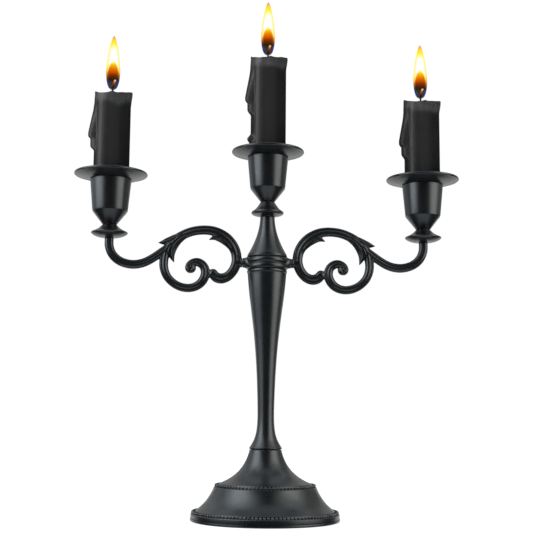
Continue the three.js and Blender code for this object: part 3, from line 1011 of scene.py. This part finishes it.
def flame_shell(name, side, shares, widths):
    """Teardrop shell between two shares of the flame's height."""
    base, top = low(side + "_flame").z - FLAME_EXTRA, high(side + "_flame").z + FLAME_EXTRA
    dense = np.linspace(shares[0], shares[-1], 64)
    radii = np.interp(dense, shares, widths)
    for _ in range(3):
        radii[1:-1] = (radii[:-2] + 2 * radii[1:-1] + radii[2:]) / 4
    outline = [(r, base + s * (top - base)) for r, s in zip(radii, dense)]
    outline[0], outline[-1] = (0, outline[0][1]), (0, outline[-1][1])
    vertices, faces = lathe_mesh(outline, 64, radius=0)
    shape = build(name, [(vertices, faces)], at=(holder_axis(side) + FLAME_DRIFT, 0, 0), sharp=80)
    mark(shape, "rise", (np.array(vertices)[:, 2] - base) / (top - base))
    return shape


def flame(side):
    shells = (
        ("veil", VEIL, VEIL_SHARES, VEIL_WIDTHS),
        ("core", CORE, CORE_SHARES, CORE_WIDTHS),
        ("heart", HEART, HEART_SHARES, HEART_WIDTHS),
    )
    for name, material, shares, widths in shells:
        shell = flame_shell(f"{side}_flame_{name}", side, shares, widths)
        dress(shell, material, "flame", side + "_candle", side + "_flame")


# ---------- light, floor and camera ----------


LIGHT_TARGET = Vector((0, 0, 0.2))


def softbox(name, azimuth, elevation, distance, size, radiance, colour):
    """Rectangular light that faces the object; azimuth 0 is behind the camera, 90 on the right."""
    a, e = math.radians(azimuth), math.radians(elevation)
    away = Vector((math.sin(a) * math.cos(e), -math.cos(a) * math.cos(e), math.sin(e)))
    data = bpy.data.lights.new(name, "AREA")
    data.shape = "RECTANGLE"
    data.size, data.size_y = size
    data.energy = radiance * math.pi * size[0] * size[1]
    data.color = colour
    light = bpy.data.objects.new(name, data)
    light.location = LIGHT_TARGET + away * distance
    light.rotation_euler = (-away).to_track_quat("-Z", "Y").to_euler()
    light.visible_camera = False
    scene.collection.objects.link(light)
    return light


def studio():
    scene.view_settings.view_transform = "Standard"
    world = bpy.data.worlds.new("studio")
    world.use_nodes = True
    world.node_tree.nodes["Background"].inputs["Color"].default_value = (0.02, 0.024, 0.027, 1)
    scene.world = world
    cool, warm, white = (0.86, 0.94, 1.0), (0.95, 1.0, 0.97), (1.0, 1.0, 1.0)
    for_metal = [
        softbox("left_box", -68, 28, 1.1, (1.3, 1.8), 1.8, cool),
        softbox("left_inner_box", -67, 24, 1.05, (0.7, 1.0), 3.2, cool),
        softbox("left_rear_box", -118, 20, 1.1, (0.8, 1.1), 0.8, cool),
        softbox("right_box", 64, 20, 1.1, (1.3, 1.7), 1.4, warm),
        softbox("right_inner_box", 62, 14, 1.05, (0.7, 1.0), 2.5, warm),
        softbox("right_rear_box", 116, 20, 1.1, (0.7, 1.1), 0.4, warm),
        softbox("top_box", 172, 80, 1.3, (2.0, 1.6), 0.9, cool),
        softbox("rear_box", 180, 24, 1.5, (2.4, 0.9), 0.6, white),
        softbox("low_box", 0, -76, 1.0, (1.5, 1.1), 1.15, cool),
        softbox("far_floor_box", 180, -20, 1.2, (2.6, 0.95), 0.95, white),
    ]
    for_wax = [
        softbox("wax_strip", -80, 15, 1.1, (0.35, 1.4), 4.2, white),
        softbox("wax_fill", 12, 10, 1.3, (1.8, 1.2), 0.42, white),
    ]
    links = (("no_metal_light", for_metal, "EXCLUDE"), ("wax_light", for_wax, "INCLUDE"))
    for name, lights, state in links:
        group = bpy.data.collections.new(name)
        for side in SIDES:
            group.objects.link(bpy.data.objects[side + "_dinner_candle"])
        for light in lights:
            light.light_linking.receiver_collection = group
        for held in group.collection_objects:
            held.light_linking.link_state = state

    bpy.ops.mesh.primitive_plane_add(size=8)
    floor = bpy.context.object
    floor.name = "floor"
    paint = Finish("pale_floor", Roughness=0.9, Emission_Strength=1.0, Specular_IOR_Level=0.1)
    tone = paint.ramp(paint.noise(3, 3), (0.3, grey(0.2)), (0.7, grey(0.24)))
    reach = paint.node("VectorMath", output="Value", operation="LENGTH", inputs={0: paint.place})
    # Painted shadow: the floor glows dimmer close to the candelabra, standing for a faint contact shadow
    # round the foot.
    painted_shade_glow = paint.ramp(paint.maths("MULTIPLY", reach, 2.0), (0.1, grey(0.9)), (0.6, grey(1.0)))
    paint.set(Base_Color=tone, Emission_Color=painted_shade_glow)
    floor.data.materials.append(paint.material)
    floor.visible_glossy = False
    floor.visible_shadow = False

    bpy.ops.mesh.primitive_uv_sphere_add(segments=48, ring_count=24, radius=3.5)
    dome = bpy.context.object
    dome.name = "backdrop"
    paper = Finish("backdrop_white", Base_Color=grey(0), Emission_Color=grey(1), Emission_Strength=1.0)
    paper.material.cycles.emission_sampling = "NONE"
    dome.data.materials.append(paper.material)
    dome.visible_diffuse = False
    dome.visible_glossy = False
    dome.visible_shadow = False


# The camera that took the photo: place in millimetres, angles in radians, lens for a 36 mm sensor.
CAMERA_PLACE = Vector((-34.97, -743.04, 73.14))
CAMERA_YAW = 0.0465
CAMERA_PITCH = 0.1394
CAMERA_ROLL = 0.0086
CAMERA_LENS = 71.05


def camera():
    data = bpy.data.cameras.new("camera")
    data.lens = CAMERA_LENS
    data.sensor_width = 36
    eye = bpy.data.objects.new("camera", data)
    level = math.cos(CAMERA_PITCH)
    look = Vector((math.sin(CAMERA_YAW) * level, math.cos(CAMERA_YAW) * level, math.sin(CAMERA_PITCH)))
    turn = look.to_track_quat("-Z", "Y") @ Quaternion((0, 0, 1), CAMERA_ROLL)
    eye.location = CAMERA_PLACE * MM
    eye.rotation_euler = turn.to_euler()
    scene.collection.objects.link(eye)
    scene.camera = eye


# ---------- assembly ----------

foot()
stem()
bell()
hub()
arms()
for side in SIDES:
    rim = high(side + "_pan").z + 0.1
    knop(side)
    cup(side, rim)
    pan(side, rim)
    cup_screw(side)
    candle(side, rim)
    wick(side)
    flame(side)

# What no piece replaces keeps the CAD's own shape.
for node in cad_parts.values():
    if not node.hide_render:
        node.data.materials.clear()
        node.data.materials.append(STEEL)

studio()
camera()
